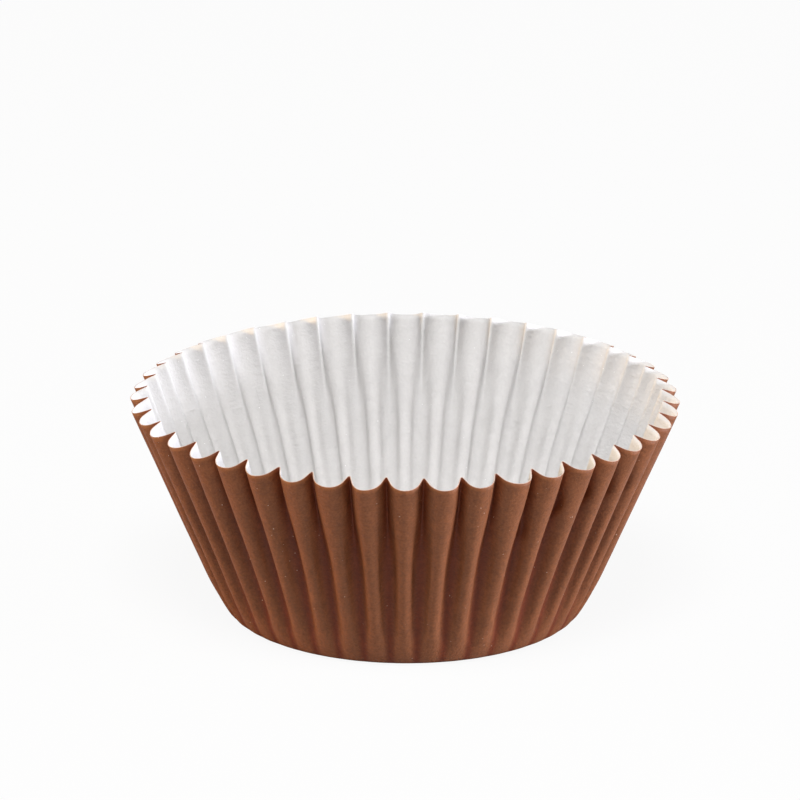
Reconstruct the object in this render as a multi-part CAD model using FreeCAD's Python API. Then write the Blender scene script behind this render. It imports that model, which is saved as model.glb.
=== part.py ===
"""A cupcake liner: one disc of greaseproof paper, pressed into a fluted cup.

Paper bends but doesn't stretch, so the wall is made only of forms that a flat
sheet can take. Each outward fold is a length of thin round pipe that runs
straight up the wall, and a flat flank leaves each side of it. The flanks of
neighbours meet in a sharp inward fold. The cup is wider at the rim than at the
floor, so a flank has more room higher up, and the flutes deepen on the way.

The frame has its origin at the middle of the underside, with +Z up the axis.
An outward fold lies on +X. All sizes are in millimetres.
"""

import FreeCAD
import Part
import math
import os

from FreeCAD import Vector

# Driving dimensions.
base_diameter = 50.0  # across the corner where the floor and the wall would meet if it were sharp
rim_diameter = 75.6  # across the outward folds, at the rim
wall_length = 32.5  # up an outward fold, from that corner to the rim
paper_thickness = 0.1
flute_count = 44
floor_diameter = 45.6  # across the flat of the floor
corner_turn = 50.0  # degrees that the corner turns up before it reaches the flutes
corner_bevels = 3  # the corner isn't smooth: stiff paper turns up in this many equal bevels

# What follows from the driving dimensions.
base_radius = base_diameter / 2
floor_radius = floor_diameter / 2
wall_angle = math.acos((rim_diameter - base_diameter) / 2 / wall_length)
half_flute = math.pi / flute_count
overrun = 5.0  # how far a form runs past the one that trims it
reach = rim_diameter  # a length that takes a form past the axis


def flank_turn():
    """How far a flank turns in from the crest of its fold, for a wall of flat paper.

    Going up the wall, the flat disc grows by half a flute's angle for each
    unit of length. The flank has to give that much paper at every height.
    """
    low, high = 0.0, math.pi / 2
    for _ in range(60):
        middle = (low + high) / 2
        room = math.cos(wall_angle) - math.tan(half_flute) * math.sin(middle) * math.sin(wall_angle)
        if math.cos(middle) > room:
            low = middle
        else:
            high = middle
    return middle


flank_angle = flank_turn()


def fold_radius():
    """The radius of the outward folds that makes each ring of the wall as long as in the flat disc."""
    across = math.sin(flank_angle) - flank_angle * math.cos(flank_angle)
    inward = 1 - math.cos(flank_angle) - flank_angle * math.sin(flank_angle)
    lean = math.tan(half_flute)
    room = lean * base_radius * (1 - math.cos(wall_angle))
    return room / (across + lean * inward * math.sin(wall_angle))


def fold_frame(along):
    """The point of the crest line at a distance up the wall, and the directions up and into the cup."""
    up = Vector(math.cos(wall_angle), 0, math.sin(wall_angle))
    inward = Vector(-math.sin(wall_angle), 0, math.cos(wall_angle))
    return Vector(base_radius, 0, 0) + up * along, up, inward


def flute_body(inset, top):
    """Everything inside one flute's paper, from its axis out to an inset from its outer face.

    A profile square to the crest line is pushed up along it: an arc for the
    outward fold, a flat flank on each side, and straight sides far inside.
    """
    start, up, inward = fold_frame(-base_radius)
    across = Vector(0, 1, 0)
    radius = fold_radius()

    def place(sideways, sunk):
        return start + across * sideways + inward * sunk

    crest = place(0, inset)
    half_arc = (radius - inset) * math.sin(flank_angle)
    arc_sunk = radius - (radius - inset) * math.cos(flank_angle)
    flank_sideways = half_arc + overrun * math.cos(flank_angle)
    flank_sunk = arc_sunk + overrun * math.sin(flank_angle)
    corners = [
        place(half_arc, arc_sunk),
        place(flank_sideways, flank_sunk),
        place(flank_sideways, reach),
        place(-flank_sideways, reach),
        place(-flank_sideways, flank_sunk),
        place(-half_arc, arc_sunk),
    ]
    edges = [Part.makeLine(a, b) for a, b in zip(corners, corners[1:])]
    edges.append(Part.Arc(corners[-1], crest, corners[0]).toShape())
    return Part.Face(Part.Wire(edges)).extrude(up * (base_radius + top))


def pan(inset):
    """The round form that turns the floor up into the wall, out to an inset from the paper's outer face.

    Its creases lie on an arc that leaves the floor level and would end on the
    crest line of a fold. The last bevel runs on past the flutes that trim it.
    """
    turn = math.radians(corner_turn)
    run, rise = math.sin(turn), 1 - math.cos(turn)
    corner_radius = (base_radius - floor_radius) / (run - rise / math.tan(wall_angle))
    bevel = turn / corner_bevels
    slopes = [0.0] + [bevel * (index + 0.5) for index in range(corner_bevels)]

    def square_to(slope):
        return Vector(-math.sin(slope), 0, math.cos(slope))

    corners = [Vector(0, 0, inset)]
    for index, (before, after) in enumerate(zip(slopes, slopes[1:])):
        sideways = floor_radius + corner_radius * math.sin(index * bevel)
        height = corner_radius * (1 - math.cos(index * bevel))
        spread = inset / math.cos((after - before) / 2)
        corners.append(Vector(sideways, 0, height) + square_to((before + after) / 2) * spread)
    length = 2 * corner_radius * math.sin(bevel / 2) + overrun
    corners.append(corners[-1] + Vector(math.cos(slopes[-1]), 0, math.sin(slopes[-1])) * length)
    corners += [Vector(reach, 0, reach), Vector(0, 0, reach)]
    face = Part.Face(Part.makePolygon(corners + corners[:1]))
    step = math.degrees(2 * half_flute)
    return face.rotated(Vector(), Vector(0, 0, 1), -step / 2).revolve(Vector(), Vector(0, 0, 1), step)


def one_flute():
    """The paper of one flute, with its slice of the floor."""
    outer = flute_body(0.0, wall_length).common(pan(0.0))
    inner = flute_body(paper_thickness, wall_length + overrun).common(pan(paper_thickness))
    return outer.cut(inner)


def liner():
    """The whole liner as one closed solid."""
    flute = one_flute()
    step = math.degrees(2 * half_flute)
    copies = [flute.rotated(Vector(), Vector(0, 0, 1), step * index) for index in range(flute_count)]
    return copies[0].fuse(copies[1:]).removeSplitter()


def main():
    os.makedirs("parts", exist_ok=True)
    print("flank angle", math.degrees(flank_angle), "fold radius", fold_radius())
    flute = one_flute()
    print("flute valid", flute.isValid(), "solids", len(flute.Solids), "faces", len(flute.Faces))
    cup = liner()
    cup.exportStep("parts/liner.step")
    box = cup.BoundBox
    print("valid", cup.isValid(), "closed", cup.isClosed())
    print("solids", len(cup.Solids), "faces", len(cup.Faces))
    print("size", box.XLength, box.YLength, box.ZLength, "volume", cup.Volume)


main()
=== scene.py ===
"""A fluted paper cupcake liner, dressed and lit for its picture.

The liner is one disc of greaseproof paper, brown outside and white inside,
pressed into a cup. One flute is built row by row from the same rule as the
solid: a round outward fold that runs straight up the wall, and a flat flank on
each side of it. A node tree repeats the flute round the axis and makes no two
folds quite alike. Lengths are in millimetres unless a line says metres.
"""

import enum
import logging
import math
from collections.abc import Callable
from dataclasses import dataclass, field
from functools import partial
from typing import Any

import bpy
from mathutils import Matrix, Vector


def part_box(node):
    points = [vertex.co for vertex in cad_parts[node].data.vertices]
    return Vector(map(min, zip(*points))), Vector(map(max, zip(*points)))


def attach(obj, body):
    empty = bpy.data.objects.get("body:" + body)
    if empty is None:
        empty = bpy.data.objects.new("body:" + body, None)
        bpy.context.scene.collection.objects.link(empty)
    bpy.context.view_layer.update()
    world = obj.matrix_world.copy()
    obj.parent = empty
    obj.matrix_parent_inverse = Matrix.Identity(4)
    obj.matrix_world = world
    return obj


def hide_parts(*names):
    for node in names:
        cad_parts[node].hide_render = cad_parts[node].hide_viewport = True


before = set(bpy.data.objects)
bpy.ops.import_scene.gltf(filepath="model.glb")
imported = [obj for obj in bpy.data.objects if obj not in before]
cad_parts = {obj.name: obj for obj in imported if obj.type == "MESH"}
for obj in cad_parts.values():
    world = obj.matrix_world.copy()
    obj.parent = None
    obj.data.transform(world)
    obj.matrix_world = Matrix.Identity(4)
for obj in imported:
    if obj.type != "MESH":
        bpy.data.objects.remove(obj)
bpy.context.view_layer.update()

log = logging.getLogger("liner")

Socket = bpy.types.NodeSocket
AddNode = Callable[..., bpy.types.Node]

MM = 0.001  # metres
NODE = "liner"
BODY = "root"

# What the liner's mesh carries at each point.
FOLD = "fold"  # how far it lies from the crest of its flute, 0, to the inward fold, 1
FLAT_PLACE = "flat_place"  # its place in the flat disc, before its flute is turned
TURN = "turn"  # how far its flute is turned round the axis
PAPER_MAP = "UVMap"  # its place in the flat disc, on a map that the disc just fills

HALVINGS = 60  # takes a bisection down to the last digit
FOLD_STEPS = 40  # straight steps that stand for a round fold, for a creased section
CREASE_STEPS = 8  # for the small arc of a crease
WAVE_STEPS = 24  # for each arc of a wavy section
TINY = 1e-9  # keeps a search or a division clear of zero


def linear(code: str) -> tuple[float, float, float, float]:
    """Turns a colour's sRGB hex value into linear light.

    Args:
        code: six hex digits, with or without a leading hash.

    Returns:
        Red, green, blue and an alpha of 1.
    """
    digits = code.lstrip("#")
    parts = [int(digits[i : i + 2], 16) / 255 for i in (0, 2, 4)]
    light = [c / 12.92 if c <= 0.04045 else ((c + 0.055) / 1.055) ** 2.4 for c in parts]
    return light[0], light[1], light[2], 1.0


def add_node(
    tree: bpy.types.NodeTree,
    kind: str,
    links: dict[int | str, Socket] | None = None,
    values: dict[int | str, Any] | None = None,
    **settings: Any,
) -> bpy.types.Node:
    """Adds a node to a tree, with its settings, its inputs' values and its incoming links.

    Args:
        tree: the tree that the node goes into.
        kind: the node's type name.
        links: the socket that feeds each input, by the input's name or place.
        values: the value of each input that nothing feeds, by its name or place.
        settings: the node's own properties.

    Returns:
        The new node.
    """
    node = tree.nodes.new(kind)
    for name, value in settings.items():
        setattr(node, name, value)
    for key, value in (values or {}).items():
        node.inputs[key].default_value = value
    for key, source in (links or {}).items():
        tree.links.new(source, node.inputs[key])
    return node


def plain_mesh(piece: bpy.types.Object) -> None:
    """Turns a piece's live modifiers into its own mesh, and takes them off.

    Args:
        piece: the object whose modifiers are made final.
    """
    bpy.context.view_layer.update()
    depsgraph = bpy.context.evaluated_depsgraph_get()
    made = bpy.data.meshes.new_from_object(piece.evaluated_get(depsgraph), depsgraph=depsgraph)
    piece.modifiers.clear()
    piece.data = made


def ease(value: float) -> float:
    """Holds a value between 0 and 1, and eases it in and out."""
    held = min(max(value, 0.0), 1.0)
    return held * held * (3 - 2 * held)


def bisect(low: float, high: float, too_low: Callable[[float], bool]) -> float:
    """Narrows a range down to the value where a test changes its answer.

    Args:
        low: a value that is too low.
        high: a value that isn't.
        too_low: says whether a value is too low.

    Returns:
        The value.
    """
    for _ in range(HALVINGS):
        middle = (low + high) / 2
        if too_low(middle):
            low = middle
        else:
            high = middle
    return low


def arc(
    centre: tuple[float, float], radius: float, first: float, last: float, steps: int
) -> list[tuple[float, float]]:
    """Draws an arc as fine straight steps.

    Args:
        centre: the arc's centre.
        radius: the arc's radius.
        first: the angle of its first point, in radians.
        last: the angle of its last point, in radians.
        steps: how many steps stand for it.

    Returns:
        Its points, one more than its steps.
    """
    turns = [first + (last - first) * i / steps for i in range(steps + 1)]
    return [(centre[0] + radius * math.cos(t), centre[1] + radius * math.sin(t)) for t in turns]


def at_shares(line: list[tuple[float, float]], shares: list[float]) -> list[tuple[float, float]]:
    """Finds points on a line of straight steps, at shares of its length.

    Args:
        line: the line's points.
        shares: the wanted places, each from 0 to 1.

    Returns:
        A point for each share.
    """
    lengths = [0.0]
    for a, b in zip(line, line[1:]):
        lengths.append(lengths[-1] + math.dist(a, b))
    points = []
    for share in shares:
        wanted = share * lengths[-1]
        spot = next(i for i in range(1, len(lengths)) if lengths[i] >= wanted - TINY)
        part = (wanted - lengths[spot - 1]) / max(lengths[spot] - lengths[spot - 1], TINY)
        a, b = line[spot - 1], line[spot]
        points.append((a[0] + (b[0] - a[0]) * part, a[1] + (b[1] - a[1]) * part))
    return points


class Face(enum.Enum):
    """The three surfaces that the paper shows, by their place among its material slots."""

    OUTSIDE = 0
    INSIDE = 1
    CUT_EDGE = 2


@dataclass
class PressedPaper:
    """The rule of the pressed form, for a flute whose outward fold lies on +X.

    A height is written as a distance up the crest line, from the corner where
    the floor and the wall would meet if it were sharp.
    """

    rim_radius: float  # of the outward folds
    base_radius: float = 25.0  # of that corner
    floor_radius: float = 22.8  # of the flat floor
    wall_length: float = 32.5  # up an outward fold
    flutes: int = 44
    thickness: float = 0.1
    corner_turn: float = math.radians(50.0)  # how far the round corner turns up
    corner_softness: float = 2.1  # how near the wall and the round corner come before they blend
    crease_radius: float = 0.14  # of the small arc in an inward fold
    wave_heights: tuple[float, float, float, float] = (0.0, 7.0, 15.0, 30.0)  # starts, full, fades, ends
    iron_heights: tuple[float, float] = (-0.5, 4.5)  # flutes flat below the first, full above the second
    wall_angle: float = field(init=False)
    half_flute: float = field(init=False)
    flank_angle: float = field(init=False)
    fold_radius: float = field(init=False)
    corner_radius: float = field(init=False)

    def __post_init__(self) -> None:
        """Works out what follows from the sizes."""
        self.wall_angle = math.acos((self.rim_radius - self.base_radius) / self.wall_length)
        self.half_flute = math.pi / self.flutes
        self.flank_angle = self.solve_flank_angle()
        self.fold_radius = self.solve_fold_radius()
        run, rise = math.sin(self.corner_turn), 1 - math.cos(self.corner_turn)
        room = self.base_radius - self.floor_radius
        self.corner_radius = room / (run - rise / math.tan(self.wall_angle))

    def solve_flank_angle(self) -> float:
        """Finds how far a flank turns in, so that the wall takes up the flat disc's paper at every height.

        Returns:
            The angle in radians.
        """

        def too_wide(turn: float) -> bool:
            """Says whether a flank at this angle takes too little paper."""
            lean = math.tan(self.half_flute) * math.sin(turn) * math.sin(self.wall_angle)
            return math.cos(turn) > math.cos(self.wall_angle) - lean

        return bisect(0.0, math.pi / 2, too_wide)

    def solve_fold_radius(self) -> float:
        """Finds the outward folds' radius, so that a ring of the wall is as long as in the flat disc.

        Returns:
            The radius.
        """
        turn, lean = self.flank_angle, math.tan(self.half_flute)
        across = math.sin(turn) - turn * math.cos(turn)
        inward = 1 - math.cos(turn) - turn * math.sin(turn)
        room = lean * self.base_radius * (1 - math.cos(self.wall_angle))
        return room / (across + lean * inward * math.sin(self.wall_angle))

    def place(self, along: float, sideways: float, sunk: float) -> Vector:
        """Gives a point of the cup from its place beside a crest line.

        Args:
            along: how far up the crest line it lies.
            sideways: how far it lies to one side.
            sunk: how far it lies in from the crest, square to the wall.

        Returns:
            The point.
        """
        run, rise = math.cos(self.wall_angle), math.sin(self.wall_angle)
        reach = self.base_radius + along * run
        return Vector((reach - sunk * rise, sideways, along * rise + sunk * run))

    def creased_section(self, along: float) -> list[tuple[float, float]]:
        """Draws the paper from the crest to the middle of a creased inward fold.

        The crease isn't quite sharp: a small arc joins the two flanks, or low
        on the wall, where there are no flanks yet, the two round folds.

        Args:
            along: how far up the crest line the section lies.

        Returns:
            Points as (sideways, sunk).
        """
        fold, bend, turn = self.fold_radius, self.crease_radius, self.flank_angle
        lean = math.tan(self.half_flute)
        rise = math.sin(self.wall_angle)
        reach = self.base_radius + along * math.cos(self.wall_angle)
        flank_start = (fold * math.sin(turn), fold * (1 - math.cos(turn)))
        outward = (math.sin(turn), -math.cos(turn))

        # The small arc's centre lies where the neighbour meets this flute, clear of
        # the flank by its radius.
        gain = -lean * rise * outward[0] + outward[1]
        start = (lean * reach - flank_start[0]) * outward[0] - flank_start[1] * outward[1]
        depth = (bend - start) / gain
        centre = (lean * (reach - depth * rise), depth)
        touch = (centre[0] - bend * outward[0], centre[1] - bend * outward[1])
        if touch[0] < flank_start[0]:

            def too_shallow(depth: float) -> bool:
                """Says whether the small arc lies clear of the round fold, with no flank between them."""
                return math.hypot(lean * (reach - depth * rise), depth - fold) > fold + bend

            depth = bisect(0.0, fold, too_shallow)
            centre = (lean * (reach - depth * rise), depth)
            share = fold / (fold + bend)
            touch = (centre[0] * share, fold + (centre[1] - fold) * share)
            turn = math.atan2(touch[0], fold - touch[1])
        first = math.atan2(touch[1] - centre[1], touch[0] - centre[0])
        last = math.atan2(1.0, -lean * rise)
        line = arc((0.0, fold), fold, -math.pi / 2, turn - math.pi / 2, FOLD_STEPS)
        return line + arc(centre, bend, first, last, CREASE_STEPS)

    def wavy_section(self, along: float) -> list[tuple[float, float]]:
        """Draws half a flute as a wave, whose inward fold is as round as the outward one.

        Two equal arcs meet halfway, and together they are as long as the paper
        of the flat disc is there.

        Args:
            along: how far up the crest line the section lies.

        Returns:
            Points as (sideways, sunk).
        """
        lean = math.tan(self.half_flute)
        reach = self.base_radius + along * math.cos(self.wall_angle)
        length = (self.base_radius + along) * self.half_flute

        def size(turn: float) -> tuple[float, float]:
            """Gives the width and the depth of two arcs that each turn this far."""
            return length / turn * math.sin(turn), length / turn * (1 - math.cos(turn))

        def too_wide(turn: float) -> bool:
            """Says whether the arcs reach past the middle of the inward fold."""
            width, depth = size(turn)
            return width > lean * (reach - depth * math.sin(self.wall_angle))

        turn = bisect(TINY, math.pi / 2, too_wide)
        width, depth = size(turn)
        radius = length / turn / 2
        outward = arc((0.0, radius), radius, -math.pi / 2, turn - math.pi / 2, WAVE_STEPS)
        return outward + [(width - aside, depth - sunk) for aside, sunk in reversed(outward[:-1])]

    def waviness(self, along: float) -> float:
        """Says how far a section is a wave: the press creases the paper at the corner and at the rim."""
        start, full, fade, end = self.wave_heights
        return ease((along - start) / (full - start)) * ease((end - along) / (end - fade))

    def depth_kept(self, along: float) -> float:
        """Says how much of a flute's depth is there: the press irons the flutes out over the corner."""
        flat, full = self.iron_heights
        return ease((along - flat) / (full - flat))

    def row(self, along: float, shares: list[float]) -> list[Vector]:
        """Places points across half a flute, at shares of the paper's length from crest to inward fold.

        Args:
            along: how far up the crest line the row lies.
            shares: the points' places, from 0 at the crest to 1 at the inward fold.

        Returns:
            The points.
        """
        wave, kept = self.waviness(along), self.depth_kept(along)
        creased = at_shares(self.creased_section(along), shares)
        wavy = at_shares(self.wavy_section(along), shares)
        points = [
            self.place(along, a[0] + (b[0] - a[0]) * wave, a[1] + (b[1] - a[1]) * wave)
            for a, b in zip(creased, wavy)
        ]
        crest = math.hypot(points[0].x, points[0].y)
        for point in points:
            radius = math.hypot(point.x, point.y)
            stretch = (crest + (radius - crest) * kept) / radius
            point.x *= stretch
            point.y *= stretch
        return points

    def corner_reach(self, height: float) -> float:
        """Gives the radius of the round corner that the flutes run out on.

        Args:
            height: the height over the floor.

        Returns:
            The radius.
        """
        top = self.corner_radius * (1 - math.cos(self.corner_turn))
        if height > top:
            straight = (height - top) / math.tan(self.corner_turn)
            return self.floor_radius + self.corner_radius * math.sin(self.corner_turn) + straight
        drop = self.corner_radius - height
        return self.floor_radius + math.sqrt(max(self.corner_radius**2 - drop**2, 0.0))

    def rounded(self, point: Vector) -> Vector:
        """Draws a point of the wall in towards the axis, where the wall runs into the round corner.

        Args:
            point: the point on the unrounded wall.

        Returns:
            The point on the paper.
        """
        radius, corner = math.hypot(point.x, point.y), self.corner_reach(point.z)
        near = max(self.corner_softness - abs(radius - corner), 0.0)
        share = (min(radius, corner) - near**2 / (4 * self.corner_softness)) / radius
        return Vector((point.x * share, point.y * share, point.z))


@dataclass
class Unevenness:
    """How far the folds stray from the rule after packing and handling."""

    sideways: float = 1.0  # at the rim
    upright: float = 0.35  # at the rim
    variety: float = 8.0  # how quickly the straying changes round the cup
    ripple: float = 0.1
    ripple_size: float = 7.0
    ripple_start: float = 0.25  # the share of the height over which the ripple grows to its full
    seed: int = 7


@dataclass
class Dent:
    """A place where an inward fold has been pushed round the cup, into the flute beside it."""

    angle: float  # round the cup from +X, in degrees
    height: float
    depth: float
    width: float = 0.55
    length: float = 2.0
    sharpness: float = 2.6  # how much shorter it is below its middle than above
    sink: float = 0.3  # how far it goes in towards the axis, for each unit that it goes sideways
    reach: float = 3.0  # how many widths or lengths away it ends


@dataclass
class FlutedCup:
    """The liner: one flute, repeated round the axis, given its thickness and its three finishes."""

    form: PressedPaper
    uneven: Unevenness
    dents: list[Dent]
    columns: int = 10  # across half a flute
    crowding: float = 1.5  # how much closer the columns stand near the inward fold
    wall_rows: int = 34
    wall_start: float = 5.0  # where the wall's rows end and the corner's begin
    corner_rows: int = 11
    floor_rings: tuple[float, ...] = (18.0, 11.0, 4.0, 0.0)
    sewing_gap: float = 0.002  # neighbouring flutes' points this near become one

    def shares(self) -> list[float]:
        """Places the columns from the crest to the inward fold."""
        return [1 - (1 - i / self.columns) ** self.crowding for i in range(self.columns + 1)]

    def half_rows(self) -> list[tuple[list[Vector], float]]:
        """Works out half a flute's rows, from the rim down to the middle of the floor.

        Returns:
            Each row's points, with how far the row lies from the middle of the flat disc.
        """
        form, shares = self.form, self.shares()
        rows = []
        for i in range(self.wall_rows + 1):
            along = form.wall_length + (self.wall_start - form.wall_length) * i / self.wall_rows
            points = [form.rounded(point) for point in form.row(along, shares)]
            rows.append((points, form.base_radius + along))
        start = rows[-1][1]
        upper, lower = form.row(self.wall_start, shares), form.row(0.0, shares)
        for i in range(1, self.corner_rows + 1):
            left = 1 - i / self.corner_rows
            points = []
            for high, low in zip(upper, lower):
                height = high.z * left**2
                outward, below = math.hypot(high.x, high.y), math.hypot(low.x, low.y)
                slope = (outward - below) / (high.z - low.z)
                wall = outward - (high.z - height) * slope
                turn = math.atan2(high.y, high.x)
                point = form.rounded(Vector((wall * math.cos(turn), wall * math.sin(turn), height)))
                if i == self.corner_rows:
                    point = Vector((math.cos(turn), math.sin(turn), 0)) * form.floor_radius
                points.append(point)
            rows.append((points, form.floor_radius + (start - form.floor_radius) * left))
        edge = rows[-1][0]
        for ring in self.floor_rings:
            rows.append(([point * (ring / form.floor_radius) for point in edge], ring))
        return rows

    def one_flute(self) -> bpy.types.Mesh:
        """Makes the mesh of one flute and its slice of the floor, facing outwards.

        Returns:
            The mesh, with the flat place and the fold of each point as attributes.
        """
        shares, half = self.shares(), self.form.half_flute
        places, flat, folded = [], [], []
        for points, away in self.half_rows():
            across = [Vector((p.x, -p.y, p.z)) for p in reversed(points[1:])] + points
            turns = [-s * half for s in reversed(shares[1:])] + [s * half for s in shares]
            places += [p * MM for p in across]
            flat += [(away * MM * math.cos(t), away * MM * math.sin(t), 0.0) for t in turns]
            folded += [abs(t) / half for t in turns]
        width = 2 * self.columns + 1
        rows = len(places) // width
        quads = [
            (r * width + c, (r + 1) * width + c, (r + 1) * width + c + 1, r * width + c + 1)
            for r in range(rows - 1)
            for c in range(width - 1)
        ]
        mesh = bpy.data.meshes.new("one_flute")
        mesh.from_pydata(places, [], quads)
        attribute = mesh.attributes.new(FLAT_PLACE, "FLOAT_VECTOR", "POINT")
        attribute.data.foreach_set("vector", [value for spot in flat for value in spot])
        mesh.attributes.new(FOLD, "FLOAT", "POINT").data.foreach_set("value", folded)
        mesh.update()
        return mesh

    def repeat_tree(self) -> bpy.types.GeometryNodeTree:
        """Builds the tree that repeats a flute round the axis and makes its folds uneven.

        Returns:
            The tree, with named inputs.
        """
        tree = bpy.data.node_groups.new("flutes_round_the_axis", "GeometryNodeTree")
        face = tree.interface
        face.new_socket("Geometry", in_out="INPUT", socket_type="NodeSocketGeometry")
        for name, kind in (
            ("Flutes", "NodeSocketInt"),
            ("Height", "NodeSocketFloat"),
            ("Disc radius", "NodeSocketFloat"),
            ("Folds astray", "NodeSocketVector"),
            ("Ripple", "NodeSocketFloat"),
            ("Ripple size", "NodeSocketFloat"),
            ("Seed", "NodeSocketInt"),
            ("Paper", "NodeSocketMaterial"),
        ):
            face.new_socket(name, in_out="INPUT", socket_type=kind)
        face.new_socket("Geometry", in_out="OUTPUT", socket_type="NodeSocketGeometry")
        add = partial(add_node, tree)
        given = add("NodeGroupInput").outputs
        own_turn = add("GeometryNodeInputNamedAttribute", data_type="FLOAT", values={"Name": TURN})
        copies = self.turned_copies(add, given, own_turn.outputs[0])
        sewn = self.mapped_and_sewn(add, given, copies, own_turn.outputs[0])
        moved = add(
            "GeometryNodeSetPosition",
            links={"Geometry": sewn, "Offset": self.straying(add, given)},
        )
        smooth = add("GeometryNodeSetShadeSmooth", links={"Geometry": moved.outputs[0]})
        whole = add("GeometryNodeRealizeInstances", links={"Geometry": smooth.outputs[0]})
        papered = add(
            "GeometryNodeSetMaterial",
            links={"Geometry": whole.outputs[0], "Material": given["Paper"]},
        )
        add("NodeGroupOutput", links={"Geometry": papered.outputs[0]})
        return tree

    def turned_copies(self, add: AddNode, given: Any, own_turn: Socket) -> Socket:
        """Adds the nodes that set a copy of the flute at each of its turns round the axis.

        Args:
            add: adds a node to the tree.
            given: the tree's inputs.
            own_turn: each copy's turn.

        Returns:
            The copies as one mesh, not yet joined at their edges.
        """
        points = add(
            "GeometryNodeMeshLine",
            links={"Count": given["Flutes"]},
            values={"Offset": (0, 0, 0)},
        )
        index = add("GeometryNodeInputIndex")
        step = add(
            "ShaderNodeMath",
            operation="DIVIDE",
            values={0: 2 * math.pi},
            links={1: given["Flutes"]},
        )
        turn = add(
            "ShaderNodeMath",
            operation="MULTIPLY",
            links={0: index.outputs[0], 1: step.outputs[0]},
        )
        kept = add(
            "GeometryNodeStoreNamedAttribute",
            data_type="FLOAT",
            domain="POINT",
            links={"Geometry": points.outputs[0], "Value": turn.outputs[0]},
            values={"Name": TURN},
        )
        rotation = add("ShaderNodeCombineXYZ", links={"Z": own_turn})
        copies = add(
            "GeometryNodeInstanceOnPoints",
            links={
                "Points": kept.outputs[0],
                "Instance": given["Geometry"],
                "Rotation": rotation.outputs[0],
            },
        )
        return add("GeometryNodeRealizeInstances", links={"Geometry": copies.outputs[0]}).outputs[0]

    def mapped_and_sewn(self, add: AddNode, given: Any, copies: Socket, own_turn: Socket) -> Socket:
        """Adds the nodes that map the paper by the flat disc, and then join neighbouring flutes.

        The map comes first, because a joined point averages its neighbours' turns.

        Args:
            add: adds a node to the tree.
            given: the tree's inputs.
            copies: the flutes side by side.
            own_turn: each copy's turn.

        Returns:
            The closed cup.
        """
        flat = add(
            "GeometryNodeInputNamedAttribute",
            data_type="FLOAT_VECTOR",
            values={"Name": FLAT_PLACE},
        )
        turned = add(
            "ShaderNodeVectorRotate",
            rotation_type="Z_AXIS",
            links={"Vector": flat.outputs[0], "Angle": own_turn},
        )
        half = add(
            "ShaderNodeMath",
            operation="DIVIDE",
            values={0: 0.5},
            links={1: given["Disc radius"]},
        )
        on_map = add(
            "ShaderNodeVectorMath",
            operation="SCALE",
            links={"Vector": turned.outputs[0], "Scale": half.outputs[0]},
        )
        centred = add(
            "ShaderNodeVectorMath",
            operation="ADD",
            links={0: on_map.outputs[0]},
            values={1: (0.5, 0.5, 0)},
        )
        mapped = add(
            "GeometryNodeStoreNamedAttribute",
            data_type="FLOAT2",
            domain="CORNER",
            links={"Geometry": copies, "Value": centred.outputs[0]},
            values={"Name": PAPER_MAP},
        )
        sewn = add(
            "GeometryNodeMergeByDistance",
            links={"Geometry": mapped.outputs[0]},
            values={"Distance": self.sewing_gap * MM},
        )
        return sewn.outputs[0]

    def straying(self, add: AddNode, given: Any) -> Socket:
        """Adds the nodes that say how far each point strays from the rule.

        Args:
            add: adds a node to the tree.
            given: the tree's inputs.

        Returns:
            Each point's shift.
        """
        middle = (0.5, 0.5, 0.5)
        position = add("GeometryNodeInputPosition").outputs[0]
        parts = add("ShaderNodeSeparateXYZ", links={0: position})
        rise = add(
            "ShaderNodeMath",
            operation="DIVIDE",
            links={0: parts.outputs["Z"], 1: given["Height"]},
        )

        # Each fold strays by its own amount, which grows evenly up the wall, so folds stay straight.
        level = add(
            "ShaderNodeVectorMath",
            operation="MULTIPLY",
            links={0: position},
            values={1: (1, 1, 0)},
        )
        heading = add("ShaderNodeVectorMath", operation="NORMALIZE", links={0: level.outputs[0]})
        seed_place = add("ShaderNodeCombineXYZ", links={"Z": given["Seed"]})
        fold_place = add(
            "ShaderNodeVectorMath",
            operation="ADD",
            links={0: heading.outputs[0], 1: seed_place.outputs[0]},
        )
        fold_noise = add(
            "ShaderNodeTexNoise",
            noise_dimensions="3D",
            links={"Vector": fold_place.outputs[0]},
            values={"Scale": self.uneven.variety, "Detail": 1.0},
        )
        fold_centred = add(
            "ShaderNodeVectorMath",
            operation="SUBTRACT",
            links={0: fold_noise.outputs["Color"]},
            values={1: middle},
        )
        fold_shift = add(
            "ShaderNodeVectorMath",
            operation="MULTIPLY",
            links={0: fold_centred.outputs[0], 1: given["Folds astray"]},
        )
        fold_moved = add(
            "ShaderNodeVectorMath",
            operation="SCALE",
            links={"Vector": fold_shift.outputs[0], "Scale": rise.outputs[0]},
        )

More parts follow.
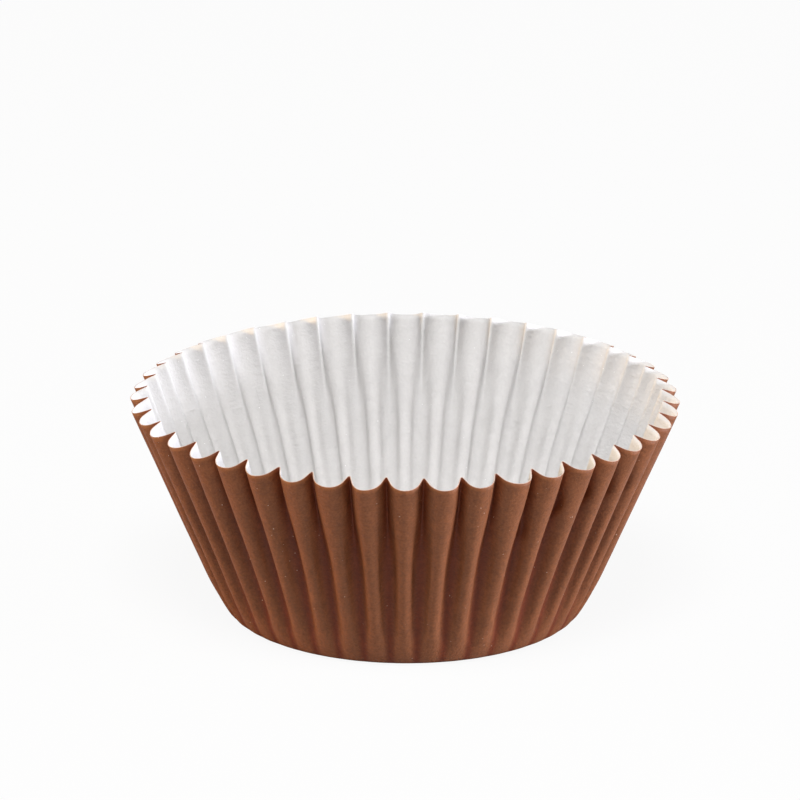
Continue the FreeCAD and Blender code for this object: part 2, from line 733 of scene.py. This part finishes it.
        # A slight ripple runs along the paper and fades out at the floor.
        fineness = add(
            "ShaderNodeMath",
            operation="DIVIDE",
            values={0: 1.0},
            links={1: given["Ripple size"]},
        )
        ripple_noise = add(
            "ShaderNodeTexNoise",
            noise_dimensions="4D",
            links={"Vector": position, "W": given["Seed"], "Scale": fineness.outputs[0]},
            values={"Detail": 2.0},
        )
        ripple_centred = add(
            "ShaderNodeVectorMath",
            operation="SUBTRACT",
            links={0: ripple_noise.outputs["Color"]},
            values={1: middle},
        )
        grown = add(
            "ShaderNodeMath",
            operation="MULTIPLY",
            use_clamp=True,
            links={0: rise.outputs[0]},
            values={1: 1 / self.uneven.ripple_start},
        )
        ripple_height = add(
            "ShaderNodeMath",
            operation="MULTIPLY",
            links={0: grown.outputs[0], 1: given["Ripple"]},
        )
        ripple_moved = add(
            "ShaderNodeVectorMath",
            operation="SCALE",
            links={"Vector": ripple_centred.outputs[0], "Scale": ripple_height.outputs[0]},
        )
        both = add(
            "ShaderNodeVectorMath",
            operation="ADD",
            links={0: fold_moved.outputs[0], 1: ripple_moved.outputs[0]},
        )
        return both.outputs[0]

    def push_in_dents(self, mesh: bpy.types.Mesh) -> None:
        """Pushes the paper round the cup and in towards the axis at each dent.

        Args:
            mesh: the liner's outer surface.
        """
        for dent in self.dents:
            angle = math.radians(dent.angle)
            outward = Vector((math.cos(angle), math.sin(angle), 0))
            sideways = Vector((-outward.y, outward.x, 0))
            push = (sideways - outward * dent.sink) * dent.depth * MM
            for vertex in mesh.vertices:
                if vertex.co.dot(outward) <= 0:
                    continue
                off = vertex.co.dot(sideways) / (dent.width * MM)
                up = (vertex.co.z / MM - dent.height) / dent.length
                if up < 0:
                    up *= dent.sharpness
                away = off * off + up * up
                if away < dent.reach**2:
                    vertex.co += push * math.exp(-away)

    def build(self, finishes: dict[Face, bpy.types.Material]) -> bpy.types.Object:
        """Makes the liner as one piece that stands for its solid.

        Args:
            finishes: the material of each of the paper's surfaces.

        Returns:
            The finished object, at the origin.
        """
        form, uneven = self.form, self.uneven
        piece = bpy.data.objects.new("paper_liner", self.one_flute())
        bpy.context.scene.collection.objects.link(piece)
        modifier = piece.modifiers.new("flutes", "NODES")
        tree = self.repeat_tree()
        modifier.node_group = tree
        wanted = {
            "Flutes": form.flutes,
            "Height": form.wall_length * math.sin(form.wall_angle) * MM,
            "Disc radius": (form.base_radius + form.wall_length) * MM,
            "Folds astray": (uneven.sideways * MM, uneven.sideways * MM, uneven.upright * MM),
            "Ripple": uneven.ripple * MM,
            "Ripple size": uneven.ripple_size * MM,
            "Seed": uneven.seed,
            "Paper": finishes[Face.OUTSIDE],
        }
        for socket in tree.interface.items_tree:
            if socket.in_out == "INPUT" and socket.name in wanted:
                modifier[socket.identifier] = wanted[socket.name]
        plain_mesh(piece)
        self.push_in_dents(piece.data)
        for name in (TURN, FLAT_PLACE):
            if name in piece.data.attributes:
                piece.data.attributes.remove(piece.data.attributes[name])
        piece.data.materials.clear()
        for face in Face:
            piece.data.materials.append(finishes[face])
        skin = piece.modifiers.new("paper", "SOLIDIFY")
        skin.thickness = form.thickness * MM
        skin.offset = -1.0
        skin.use_even_offset = True
        skin.thickness_clamp = 0.0
        skin.material_offset = Face.INSIDE.value
        skin.material_offset_rim = Face.CUT_EDGE.value
        plain_mesh(piece)
        piece.data.name = "paper_liner"
        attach(piece, BODY)
        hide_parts(NODE)
        return piece


@dataclass(frozen=True)
class Greaseproof:
    """Greaseproof paper: a close sheet of hard-beaten fibres, pressed smooth and thinly waxed.

    To the eye it is nearly matt, with a soft satin light along the folds. Held
    close it shows cloudy patches of dye, a fine felt of fibres, a pale fleck
    here and there, and faint wrinkles that the press left across the folds.

    Its map covers the flat disc once, so a pattern's scale is the disc's
    diameter over the pattern's real size. The fibres are about 0.03 mm across
    and the flecks 0.05 mm, too fine for the picture, so both are drawn coarser.

    A Mix node's sockets go by number: 2 and 3 mix numbers, and 6 and 7 mix
    colours, which come out at 2.
    """

    name: str
    crest: str  # colour on the outward folds; where it is paler than the inward folds' colour, that is painted sheen
    fold: str  # colour in the inward folds; where it is darker than the crests' colour, that is painted shade, the shade that gathers in the folds
    disc: float  # the flat disc's diameter
    floor_radius: float
    fold_shade_from: float = 0.45  # where the inward folds' colour starts, from crest, 0, to fold, 1: the edge of the painted shade
    cloud_depth: float = 0.035  # how much lighter or darker the clouds are
    cloud_size: float = 3.5
    cloud_share: float = 0.6  # of the tone that comes from the clouds, and the rest from the fibres
    cloud_range: tuple[float, float] = (0.38, 0.62)  # where nearly all of the noise lies
    fibre_size: float = 0.36
    fibre_relief: float = 0.09
    wrinkle_spacing: float = 0.75  # up the wall
    wrinkle_width: float = 2.4  # round the wall
    wrinkle_relief: float = 0.08
    wrinkle_full: float = 1.3  # full relief at this many times the floor's radius, and none on the floor
    fleck: str = "#FFFFFF"
    fleck_spacing: float = 1.2
    fleck_size: float = 0.08  # radius of the largest
    roughness: float = 0.66
    ior: float = 1.5
    gloss: float = 0.19  # less than the usual 0.5, because the wax doesn't close the fibres over
    seed: float = 0.0  # of the clouds, and the fibres' and the wrinkles' lie 3 and 5 further on

    def material(self) -> bpy.types.Material:
        """Builds the paper's material.

        Returns:
            A node material that reads the paper's own map.
        """
        material = bpy.data.materials.new(self.name)
        material.use_nodes = True
        tree = material.node_tree
        tree.nodes.clear()
        add = partial(add_node, tree)
        flat = add("ShaderNodeUVMap", uv_map=PAPER_MAP).outputs[0]
        fibres = add(
            "ShaderNodeTexNoise",
            noise_dimensions="4D",
            links={"Vector": flat},
            values={
                "Scale": self.disc / self.fibre_size,
                "Detail": 2.0,
                "Roughness": 0.7,
                "W": self.seed + 3,
            },
        ).outputs[0]
        shader = add(
            "ShaderNodeBsdfPrincipled",
            links={
                "Base Color": self.colour(add, flat, fibres),
                "Normal": self.relief(add, flat, fibres),
            },
            values={
                "Roughness": self.roughness,
                "IOR": self.ior,
                "Specular IOR Level": self.gloss,
            },
        )
        add("ShaderNodeOutputMaterial", links={0: shader.outputs[0]})
        return material

    def colour(self, add: AddNode, flat: Socket, fibres: Socket) -> Socket:
        """Adds the nodes of the paper's colour, with painted shade in the inward folds and painted sheen
        on the crests.

        Args:
            add: adds a node to the material.
            flat: the paper's map.
            fibres: the noise of the fibres.

        Returns:
            The colour.
        """
        # Painted shade and sheen: the inward folds get a darker, redder brown for the shade in them, and
        # the crests a paler brown for their sheen.
        across = add("ShaderNodeAttribute", attribute_type="GEOMETRY", attribute_name=FOLD)
        fold_shade_mask = add(
            "ShaderNodeMapRange",
            interpolation_type="SMOOTHSTEP",
            links={0: across.outputs["Fac"]},
            values={1: self.fold_shade_from, 2: 1.0},
        )
        painted_fold_shade = add(
            "ShaderNodeMix",
            data_type="RGBA",
            links={0: fold_shade_mask.outputs[0]},
            values={6: linear(self.crest), 7: linear(self.fold)},
        )

        # Where the sheet is a little thicker or thinner, its colour clouds over.
        clouds = add(
            "ShaderNodeTexNoise",
            noise_dimensions="4D",
            links={"Vector": flat},
            values={
                "Scale": self.disc / self.cloud_size,
                "Detail": 3.0,
                "Roughness": 0.6,
                "W": self.seed,
            },
        )
        tone = add(
            "ShaderNodeMix",
            data_type="FLOAT",
            links={2: fibres, 3: clouds.outputs[0]},
            values={0: self.cloud_share},
        )
        low, high = self.cloud_range
        strength = add(
            "ShaderNodeMapRange",
            links={0: tone.outputs[0]},
            values={1: low, 2: high, 3: 1 - self.cloud_depth, 4: 1 + self.cloud_depth},
        )
        clouded = add(
            "ShaderNodeVectorMath",
            operation="SCALE",
            links={0: painted_fold_shade.outputs[2], "Scale": strength.outputs[0]},
        )

        # Here and there a fibre has stayed undyed. A cell's own colour gives its fleck's size.
        cells = add(
            "ShaderNodeTexVoronoi",
            feature="F1",
            links={"Vector": flat},
            values={"Scale": self.disc / self.fleck_spacing},
        )
        own_size = add(
            "ShaderNodeMath",
            operation="MULTIPLY",
            links={0: cells.outputs["Color"]},
            values={1: self.fleck_size / self.fleck_spacing},
        )
        on_fleck = add(
            "ShaderNodeMath",
            operation="LESS_THAN",
            links={0: cells.outputs["Distance"], 1: own_size.outputs[0]},
        )
        flecked = add(
            "ShaderNodeMix",
            data_type="RGBA",
            links={0: on_fleck.outputs[0], 6: clouded.outputs[0]},
            values={7: linear(self.fleck)},
        )
        return flecked.outputs[2]

    def relief(self, add: AddNode, flat: Socket, fibres: Socket) -> Socket:
        """Adds the nodes of the paper's relief: wrinkles across the folds, and fibres over them.

        Args:
            add: adds a node to the material.
            flat: the paper's map.
            fibres: the noise of the fibres.

        Returns:
            The normal.
        """
        from_middle = add(
            "ShaderNodeVectorMath",
            operation="SUBTRACT",
            links={0: flat},
            values={1: (0.5, 0.5, 0)},
        )
        radius = add(
            "ShaderNodeVectorMath",
            operation="LENGTH",
            links={0: from_middle.outputs[0]},
        ).outputs["Value"]
        heading = add(
            "ShaderNodeVectorMath",
            operation="NORMALIZE",
            links={0: from_middle.outputs[0]},
        )
        round_place = add(
            "ShaderNodeVectorMath",
            operation="SCALE",
            links={0: heading.outputs[0]},
            values={"Scale": self.disc / 2 / self.wrinkle_width},
        )
        up_place = add(
            "ShaderNodeMath",
            operation="MULTIPLY",
            links={0: radius},
            values={1: self.disc / self.wrinkle_spacing},
        )
        up_vector = add("ShaderNodeCombineXYZ", links={"Z": up_place.outputs[0]})
        wrinkle_place = add(
            "ShaderNodeVectorMath",
            operation="ADD",
            links={0: round_place.outputs[0], 1: up_vector.outputs[0]},
        )
        wrinkles = add(
            "ShaderNodeTexNoise",
            noise_dimensions="4D",
            links={"Vector": wrinkle_place.outputs[0]},
            values={"Scale": 1.0, "Detail": 2.0, "Roughness": 0.5, "W": self.seed + 5},
        )
        floor = self.floor_radius / self.disc
        pressed = add(
            "ShaderNodeMapRange",
            links={0: radius},
            values={1: floor, 2: self.wrinkle_full * floor},
        )
        wrinkle_height = add(
            "ShaderNodeMath",
            operation="MULTIPLY",
            links={0: wrinkles.outputs[0], 1: pressed.outputs[0]},
        )
        wrinkle_bump = add(
            "ShaderNodeBump",
            links={"Height": wrinkle_height.outputs[0]},
            values={"Strength": 1.0, "Distance": self.wrinkle_relief * MM},
        )
        fibre_bump = add(
            "ShaderNodeBump",
            links={"Height": fibres, "Normal": wrinkle_bump.outputs[0]},
            values={"Strength": 1.0, "Distance": self.fibre_relief * MM},
        )
        return fibre_bump.outputs[0]


@dataclass(frozen=True)
class CutEdge:
    """The cut edge of the paper: its pale core of torn fibres shows as a thin matt line."""

    name: str = "greaseproof_paper_cut_edge"
    core: str = "#C8AC9C"
    roughness: float = 0.8

    def material(self) -> bpy.types.Material:
        """Builds the edge's material.

        Returns:
            A plain matt material.
        """
        material = bpy.data.materials.new(self.name)
        material.use_nodes = True
        shader = material.node_tree.nodes["Principled BSDF"]
        shader.inputs["Base Color"].default_value = linear(self.core)
        shader.inputs["Roughness"].default_value = self.roughness
        return material


@dataclass
class Camera:
    """A long lens that looks slightly down on the cup.

    The values in pixels are for a picture of 800 by 800: the lens's reach, and
    the place in the picture of the point that the camera looks at.
    """

    elevation: float = 20.09  # degrees
    distance: float = 1249.6
    lens_px: float = 9015.4
    aim_height: float = 15.5
    aim_px: tuple[float, float] = (404.55, 499.04)
    roll: float = 0.38  # degrees
    frame_px: float = 800.0
    sensor: float = 36.0
    near: float = 0.1  # metres
    far: float = 20.0  # metres

    def build(self) -> bpy.types.Object:
        """Makes the scene's camera.

        Returns:
            The camera's object.
        """
        lens = bpy.data.cameras.new("camera")
        lens.sensor_width = self.sensor
        lens.lens = self.lens_px / self.frame_px * lens.sensor_width
        lens.shift_x = -(self.aim_px[0] - self.frame_px / 2) / self.frame_px
        lens.shift_y = (self.aim_px[1] - self.frame_px / 2) / self.frame_px
        lens.clip_start, lens.clip_end = self.near, self.far
        camera = bpy.data.objects.new("camera", lens)
        tilt = math.radians(self.elevation)
        camera.location = Vector((0, -math.cos(tilt), math.sin(tilt))) * self.distance * MM
        towards = Vector((0, 0, self.aim_height * MM)) - camera.location
        camera.rotation_mode = "QUATERNION"
        camera.rotation_quaternion = towards.to_track_quat("-Z", "Y")
        camera.rotation_mode = "XYZ"
        camera.rotation_euler.rotate_axis("Z", math.radians(self.roll))
        bpy.context.scene.collection.objects.link(camera)
        bpy.context.scene.camera = camera
        return camera


@dataclass
class Lamp:
    """A soft rectangular studio lamp that faces the cup, with its sizes in metres."""

    name: str
    azimuth: float  # degrees to the camera's right
    elevation: float  # degrees
    width: float
    height: float
    power: float  # watts
    colour: str = "#FFFFFF"
    distance: float = 1.2

    def build(self) -> bpy.types.Object:
        """Makes the lamp.

        Returns:
            The lamp's object.
        """
        light = bpy.data.lights.new(self.name, "AREA")
        light.shape = "RECTANGLE"
        light.size = self.width
        light.size_y = self.height
        light.energy = self.power
        light.color = linear(self.colour)[:3]
        lamp = bpy.data.objects.new(self.name, light)
        turn, tilt = math.radians(self.azimuth), math.radians(self.elevation)
        level = math.cos(tilt)
        back = Vector((math.sin(turn) * level, -math.cos(turn) * level, math.sin(tilt)))
        lamp.location = back * self.distance
        lamp.rotation_mode = "QUATERNION"
        lamp.rotation_quaternion = back.to_track_quat("Z", "Y")
        bpy.context.scene.collection.objects.link(lamp)
        return lamp


@dataclass
class Studio:
    """A white table, a white room and soft lamps."""

    lamps: list[Lamp]
    table_half: float = 3.0  # metres
    table_drop: float = 0.02
    card: str = "#CFCFCF"
    card_whitened: float = 0.93  # the share of pure white in what the camera sees of the table
    room_light: float = 0.09

    def build_table(self) -> bpy.types.Object:
        """Lays the table top, which the camera sees as the picture's white ground.

        Returns:
            The table's object.
        """
        half, drop = self.table_half, -self.table_drop * MM
        mesh = bpy.data.meshes.new("table")
        corners = [(-half, -half, drop), (half, -half, drop), (half, half, drop), (-half, half, drop)]
        mesh.from_pydata(corners, [], [(0, 1, 2, 3)])
        table = bpy.data.objects.new("table", mesh)
        material = bpy.data.materials.new("white_card")
        material.use_nodes = True
        tree = material.node_tree
        tree.nodes.clear()
        add = partial(add_node, tree)
        card = add("ShaderNodeBsdfDiffuse", values={"Color": linear(self.card)})
        white = add("ShaderNodeEmission", values={"Color": (1, 1, 1, 1), "Strength": 1.0})
        seen = add("ShaderNodeLightPath")
        share = add(
            "ShaderNodeMath",
            operation="MULTIPLY",
            links={0: seen.outputs["Is Camera Ray"]},
            values={1: self.card_whitened},
        )
        mixed = add(
            "ShaderNodeMixShader",
            links={0: share.outputs[0], 1: card.outputs[0], 2: white.outputs[0]},
        )
        add("ShaderNodeOutputMaterial", links={0: mixed.outputs[0]})
        mesh.materials.append(material)
        bpy.context.scene.collection.objects.link(table)
        return table

    def build_room(self) -> None:
        """Fills the room with even white light, and shows it as pure white."""
        world = bpy.data.worlds.new("white_room")
        bpy.context.scene.world = world
        world.use_nodes = True
        tree = world.node_tree
        tree.nodes.clear()
        add = partial(add_node, tree)
        pure = (1, 1, 1, 1)
        light = add("ShaderNodeBackground", values={"Color": pure, "Strength": self.room_light})
        white = add("ShaderNodeBackground", values={"Color": pure, "Strength": 1.0})
        seen = add("ShaderNodeLightPath")
        mixed = add(
            "ShaderNodeMixShader",
            links={0: seen.outputs["Is Camera Ray"], 1: light.outputs[0], 2: white.outputs[0]},
        )
        add("ShaderNodeOutputWorld", links={0: mixed.outputs[0]})

    def build(self) -> None:
        """Builds the table, the room and the lamps."""
        self.build_room()
        self.build_table()
        for lamp in self.lamps:
            lamp.build()


def main() -> None:
    """Builds the liner, its studio and its camera."""
    logging.basicConfig(level=logging.INFO, format="%(name)s: %(message)s")
    bpy.context.scene.view_settings.view_transform = "Standard"
    _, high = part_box(NODE)
    form = PressedPaper(rim_radius=high[0] / MM)
    flank = math.degrees(form.flank_angle)
    log.info("flank angle %.1f degrees, fold radius %.2f mm", flank, form.fold_radius)
    disc = 2 * (form.base_radius + form.wall_length)
    brown = Greaseproof(
        name="greaseproof_paper_brown",
        # the paler crest brown is painted sheen and the darker fold brown is painted shade
        crest="#7A482A",
        fold="#642A10",
        disc=disc,
        floor_radius=form.floor_radius,
        cloud_depth=0.19,
        cloud_size=2.5,
        cloud_share=0.35,
        fleck="#D8C0AE",
        roughness=0.56,
        gloss=0.25,
    )
    white = Greaseproof(
        name="greaseproof_paper_white",
        crest="#D3D1D0",
        fold="#D3D1D0",
        disc=disc,
        floor_radius=form.floor_radius,
        seed=11.0,
    )
    finishes = {
        Face.OUTSIDE: brown.material(),
        Face.INSIDE: white.material(),
        Face.CUT_EDGE: CutEdge().material(),
    }
    dents = [
        Dent(angle=-52.7, height=23.9, depth=0.8),
        Dent(angle=-44.6, height=24.6, depth=0.8),
        Dent(angle=-36.4, height=24.1, depth=0.7),
        Dent(angle=-28.2, height=23.2, depth=0.8),
        Dent(angle=-60.9, height=20.5, depth=0.5),
    ]
    piece = FlutedCup(form=form, uneven=Unevenness(), dents=dents).build(finishes)
    log.info("paper_liner: %d faces", len(piece.data.polygons))
    # The two low lamps light the wall, which leans out over the table. The front one lights the inside.
    lamps = [
        Lamp("key", azimuth=82.0, elevation=4.5, width=0.5, height=0.18, power=21.0, colour="#F2F4FF"),
        Lamp("fill", azimuth=-91.0, elevation=4.0, width=0.8, height=0.16, power=12.5, colour="#FFD69C"),
        Lamp("front", azimuth=-4.0, elevation=62.0, width=0.5, height=0.5, power=16.5),
    ]
    Studio(lamps=lamps).build()
    Camera().build()


if __name__ == "__main__":
    main()
